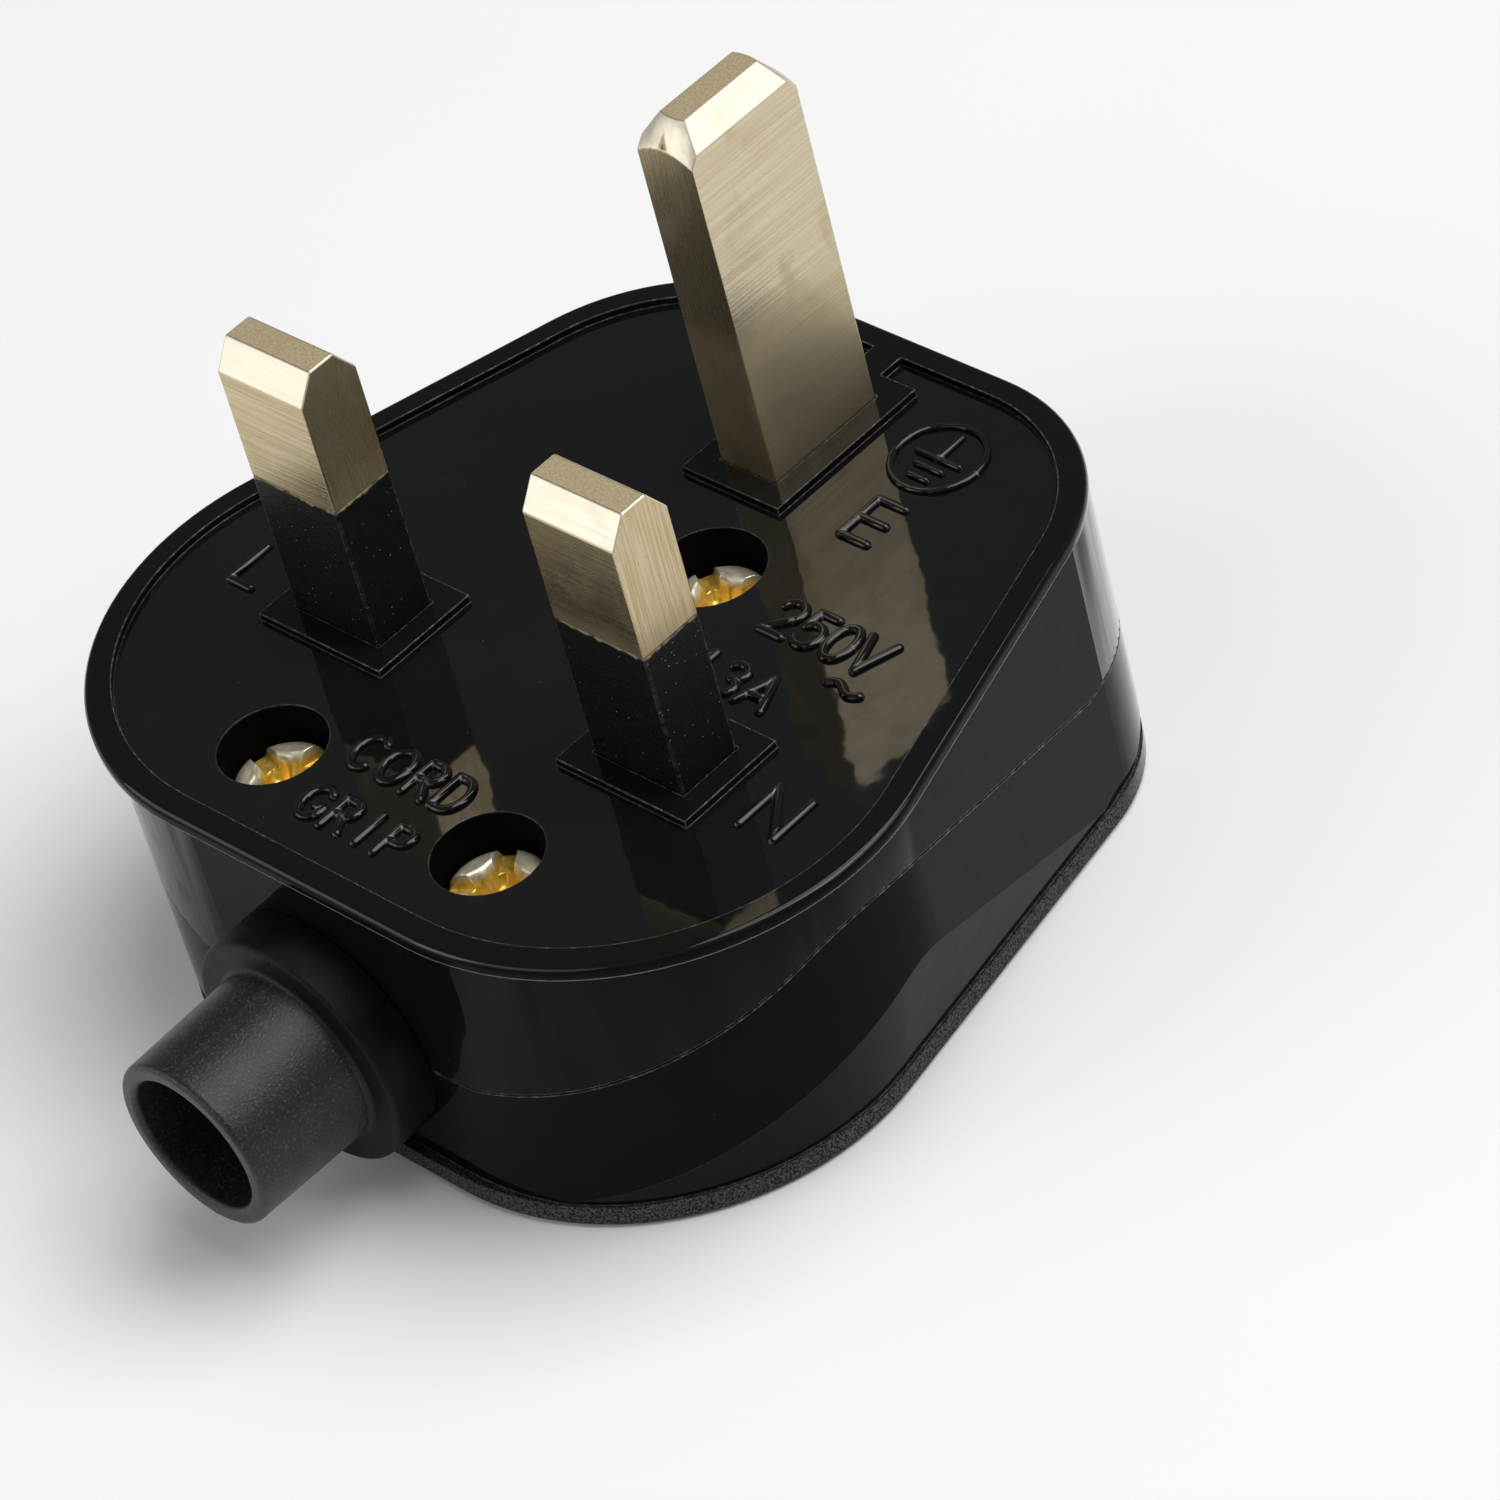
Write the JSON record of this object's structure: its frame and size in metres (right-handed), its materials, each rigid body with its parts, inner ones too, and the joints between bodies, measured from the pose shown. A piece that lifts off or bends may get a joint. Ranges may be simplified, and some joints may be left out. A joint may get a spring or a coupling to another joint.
{
  "type": "three pin mains plug",
  "caption": "Rewirable mains plug: flat pins with insulated roots, a base and cover that meet on an arched line, tapered finger grips and a flanged cord sleeve.",
  "frame": {"origin": "on the pin face, midway between the live and neutral pins", "axes": "+Z along the pins, away from the body; +Y towards the earth pin; -Y towards the cord; +X towards the neutral pin"},
  "size_m": [0.0504, 0.0581, 0.0421],
  "materials": {
    "body_black": "moulded, polished black",
    "pin_brass": "milled pale brass",
    "pin_insulation": "satin black, scuffed",
    "screw_brass": "turned brass",
    "terminal_brass": "cast and milled brass",
    "clip_brass": "rolled spring sheet",
    "fuse_ceramic": "unglazed ceramic",
    "fuse_cap_metal": "nickel plated",
    "clamp_fibre": "plain moulded",
    "cord_sleeve_black": "matte, fine grained"
  },
  "bodies": {
    "root": {"base": "body_black", "cover": "body_black", "earth_pin": "pin_brass", "neutral_pin": "pin_brass", "live_pin": "pin_brass", "neutral_pin_sleeve": "pin_insulation", "live_pin_sleeve": "pin_insulation", "earth_terminal_screw": "screw_brass", "neutral_terminal_screw": "screw_brass", "live_terminal_screw": "screw_brass", "cord_grip_screw_live_side": "screw_brass", "cord_grip_screw_neutral_side": "screw_brass", "cover_screw": "screw_brass", "cover_insert": "screw_brass", "live_terminal": "terminal_brass", "fuse_clip_pin_side": "clip_brass", "fuse_clip_terminal_side": "clip_brass", "fuse_tube": "fuse_ceramic", "fuse_cap_pin_side": "fuse_cap_metal", "fuse_cap_terminal_side": "fuse_cap_metal", "cord_clamp_bar": "clamp_fibre", "cover_screw_retainer": "clamp_fibre", "cord_sleeve": "cord_sleeve_black"}
  },
  "joints": []
}
